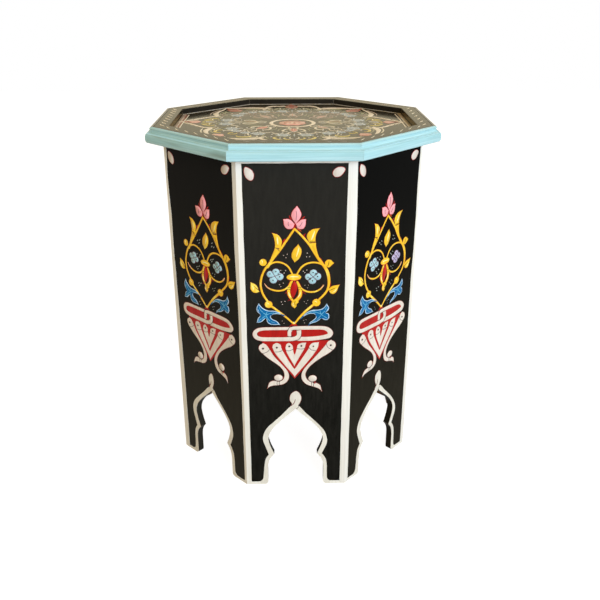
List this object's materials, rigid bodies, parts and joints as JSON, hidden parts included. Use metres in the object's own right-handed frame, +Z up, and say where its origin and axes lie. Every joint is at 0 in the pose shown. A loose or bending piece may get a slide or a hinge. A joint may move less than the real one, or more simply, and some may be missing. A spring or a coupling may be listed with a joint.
{
  "type": "octagonal painted stool",
  "caption": "Octagonal wooden stool or side table with a recessed top inside a raised lip, a moulded edge, and eight painted side boards with pointed keyhole arches for feet.",
  "frame": {"origin": "on the floor, in the middle of the footprint", "axes": "+Z up, -Y out of the front side board, +X to the right as seen from the front"},
  "size_m": [0.3882, 0.3882, 0.5],
  "materials": {
    "board_paint": "black paint over wood, satin varnish, painted ornament",
    "top_paint": "black paint over wood, satin varnish, painted rosette",
    "moulding_paint": "aqua paint over a wooden moulding, satin, brushed by hand",
    "bare_wood": "bare sawn pine, matt",
    "screw_steel": "zinc plated steel"
  },
  "bodies": {
    "root": {"side_panel_front": "board_paint", "side_panel_front_right": "board_paint", "side_panel_right": "board_paint", "side_panel_back_right": "board_paint", "side_panel_back": "board_paint", "side_panel_back_left": "board_paint", "side_panel_left": "board_paint", "side_panel_front_left": "board_paint", "corner_batten_front": "bare_wood", "corner_batten_front_right": "bare_wood", "corner_batten_right": "bare_wood", "corner_batten_back_right": "bare_wood", "corner_batten_back": "bare_wood", "corner_batten_back_left": "bare_wood", "corner_batten_left": "bare_wood", "corner_batten_front_left": "bare_wood", "top_cleat_front": "bare_wood", "top_cleat_front_right": "bare_wood", "top_cleat_right": "bare_wood", "top_cleat_back_right": "bare_wood", "top_cleat_back": "bare_wood", "top_cleat_back_left": "bare_wood", "top_cleat_left": "bare_wood", "top_cleat_front_left": "bare_wood", "cleat_screw_front": "screw_steel", "cleat_screw_front_right": "screw_steel", "cleat_screw_right": "screw_steel", "cleat_screw_back_right": "screw_steel", "cleat_screw_back": "screw_steel", "cleat_screw_back_left": "screw_steel", "cleat_screw_left": "screw_steel", "cleat_screw_front_left": "screw_steel", "lip_strip_front": "top_paint", "lip_strip_front_right": "top_paint", "lip_strip_right": "top_paint", "lip_strip_back_right": "top_paint", "lip_strip_back": "top_paint", "lip_strip_back_left": "top_paint", "lip_strip_left": "top_paint", "lip_strip_front_left": "top_paint", "edge_moulding_front": "moulding_paint", "edge_moulding_front_right": "moulding_paint", "edge_moulding_right": "moulding_paint", "edge_moulding_back_right": "moulding_paint", "edge_moulding_back": "moulding_paint", "edge_moulding_back_left": "moulding_paint", "edge_moulding_left": "moulding_paint", "edge_moulding_front_left": "moulding_paint", "top_board": "top_paint"}
  },
  "joints": []
}
